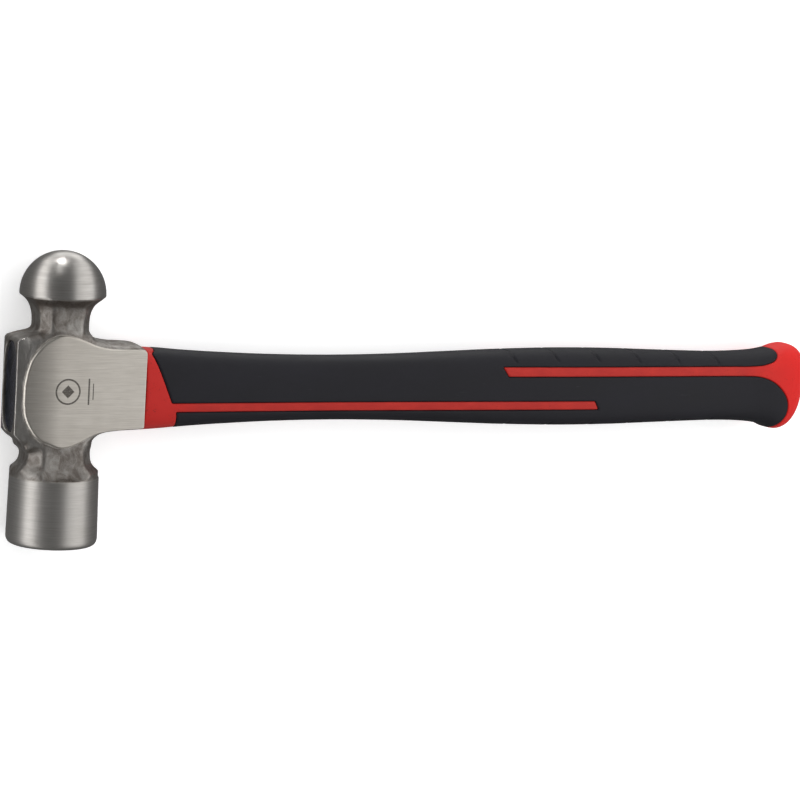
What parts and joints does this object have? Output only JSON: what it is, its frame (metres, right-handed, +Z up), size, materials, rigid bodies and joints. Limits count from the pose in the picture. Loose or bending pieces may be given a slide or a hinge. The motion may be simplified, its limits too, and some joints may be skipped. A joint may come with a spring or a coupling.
{
  "type": "ball peen hammer",
  "caption": "Ball peen hammer with a forged steel head, a potted fibreglass core and a red jacket under a waisted black rubber grip, lying on its side",
  "frame": {"origin": "Centre of the bounding box in X and Y, at the lowest point of the part in Z, where the barrel of the head touches the surface the hammer lies on", "axes": "+X runs along the handle from the head to the butt, +Y along the head from the striking face to the ball, +Z is up, the outward normal of the upper cheek. The hammer lies on its side"},
  "size_m": [0.4008, 0.1306, 0.0406],
  "materials": {
    "steel": "ground cheeks, turned ball and barrel, as-forged necks",
    "fibreglass": "pultruded rod",
    "resin": "cast, glossy",
    "red_plastic": "moulded, satin",
    "black_rubber": "moulded, satin"
  },
  "bodies": {
    "root": {"hammer_head": "steel", "fibreglass_core": "fibreglass", "eye_resin": "resin", "handle_jacket": "red_plastic", "rubber_grip": "black_rubber"}
  },
  "joints": []
}
